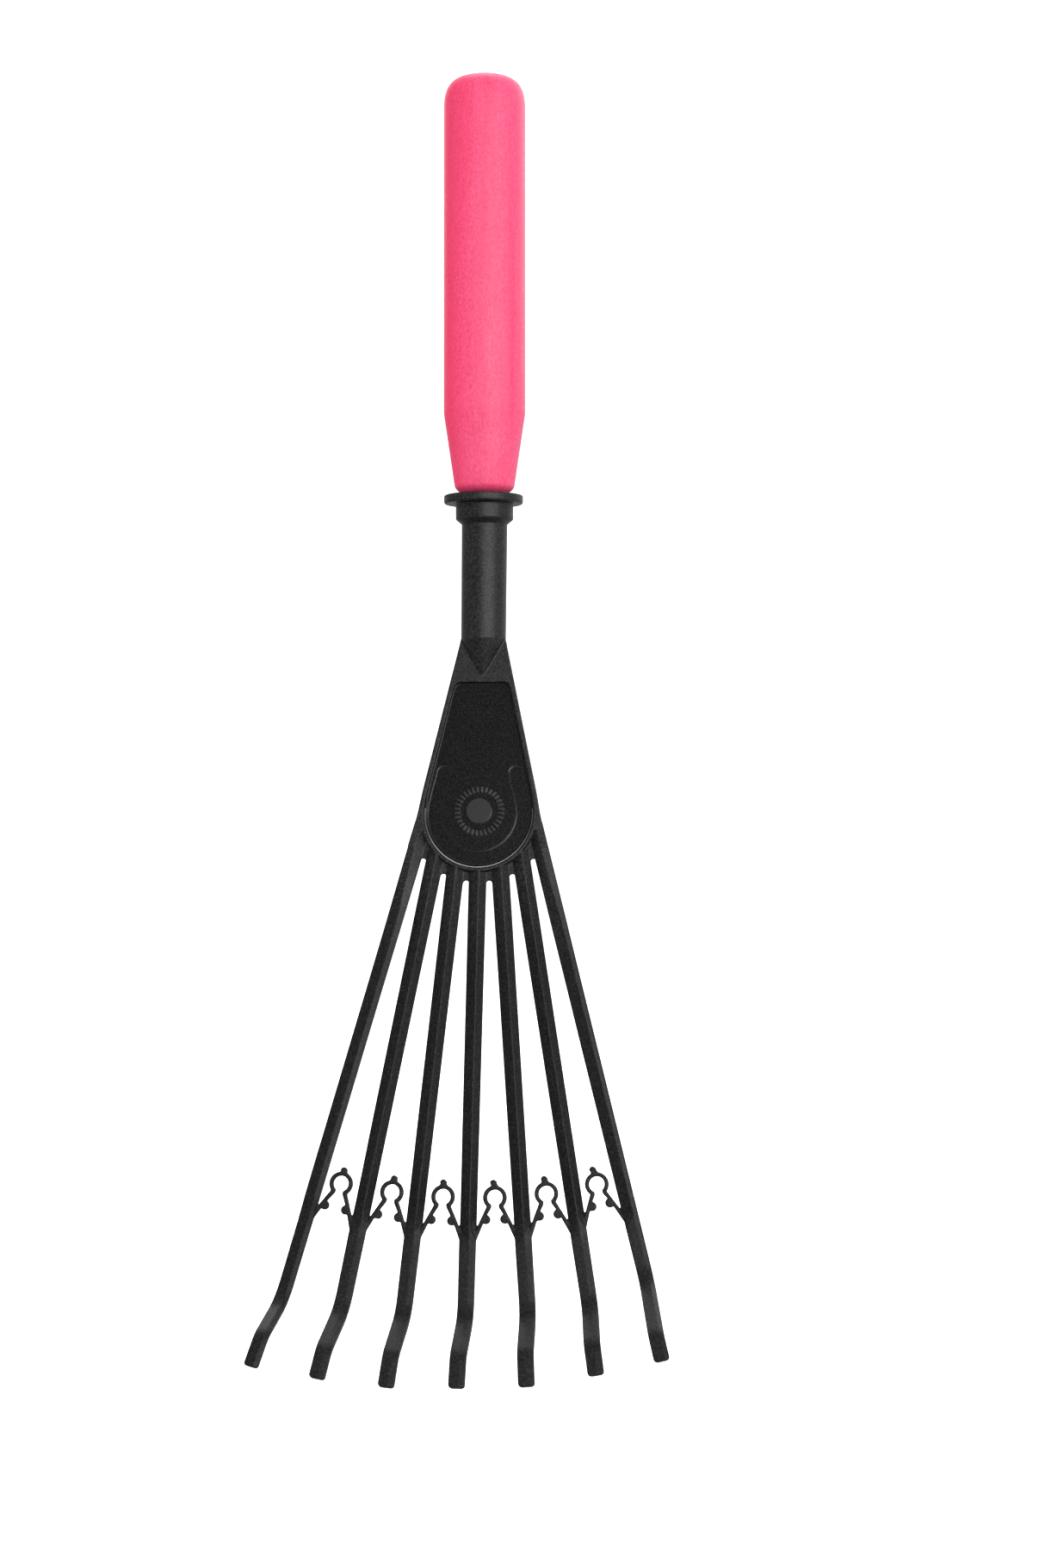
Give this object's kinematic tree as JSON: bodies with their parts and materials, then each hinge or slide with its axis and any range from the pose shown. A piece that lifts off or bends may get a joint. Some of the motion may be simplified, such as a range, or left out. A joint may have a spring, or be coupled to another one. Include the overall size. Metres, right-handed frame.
{
  "type": "hand fan rake",
  "caption": "Hand fan rake for stable and yard litter: turned wooden handle in a moulded plastic head with fanned, forward-bent tines joined by small moulded springs.",
  "frame": {"origin": "centre of the plate's round end, on the plate's flat back face", "axes": "+Z along the handle towards its top; +X to the right of a viewer facing the front; the front and the bent tips look towards -Y"},
  "size_m": [0.1374, 0.0923, 0.4392],
  "materials": {
    "black_plastic": "fine moulded texture with a smoother recessed panel",
    "dyed_wood": "dyed pink, satin, fine lengthwise grain",
    "screw_steel": "zinc plated"
  },
  "bodies": {
    "root": {"rake_head": "black_plastic", "wooden_handle": "dyed_wood", "handle_screw": "screw_steel"}
  },
  "joints": []
}
